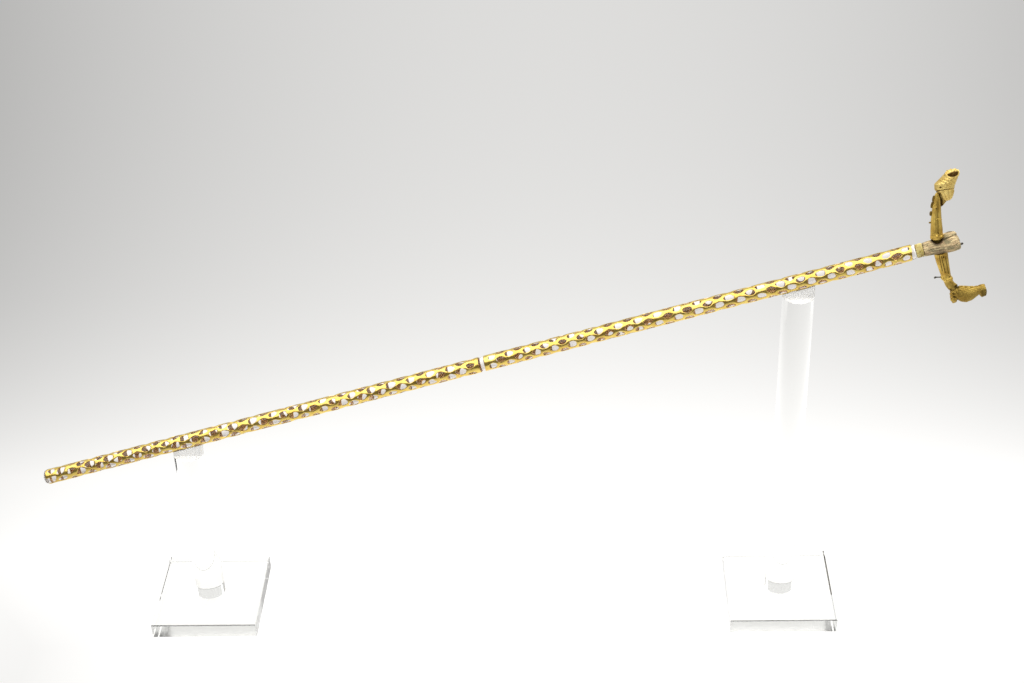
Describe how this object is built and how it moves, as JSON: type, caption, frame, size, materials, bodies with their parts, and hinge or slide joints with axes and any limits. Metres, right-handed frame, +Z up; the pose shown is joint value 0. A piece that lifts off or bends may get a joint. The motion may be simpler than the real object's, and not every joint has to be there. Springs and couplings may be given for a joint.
{
  "type": "ceremonial sceptre",
  "caption": "Slender sceptre of pierced gold tubes on a clear rod, with a wooden head and hollow gold arms, lying at a slope across clear stands.",
  "frame": {"origin": "on the surface the stands rest on, midway along and across the whole part", "axes": "+X runs from the lower end of the sceptre toward its head, +Y points away from the front, +Z up"},
  "size_m": [0.677, 0.08, 0.37],
  "materials": {
    "gold_sheath": "burnished gold sheet",
    "gold_arm": "worked gold sheet, satin",
    "rod_acrylic": "clear polished acrylic",
    "stand_acrylic": "clear polished acrylic",
    "resin": "aged pale resin",
    "old_wood": "dry mineralised wood",
    "dark_bronze": "corroded dark bronze"
  },
  "bodies": {
    "root": {"sheath_lower": "gold_sheath", "sheath_upper": "gold_sheath", "core_rod": "rod_acrylic", "head_collar": "resin", "wood_head": "old_wood", "neck_upper": "gold_arm", "head_upper": "gold_arm", "neck_lower": "gold_arm", "head_lower": "gold_arm", "pin_neck": "dark_bronze", "pin_wood": "dark_bronze", "foot_plate_left": "stand_acrylic", "foot_plate_right": "stand_acrylic", "post_left": "stand_acrylic", "post_right": "stand_acrylic"}
  },
  "joints": []
}
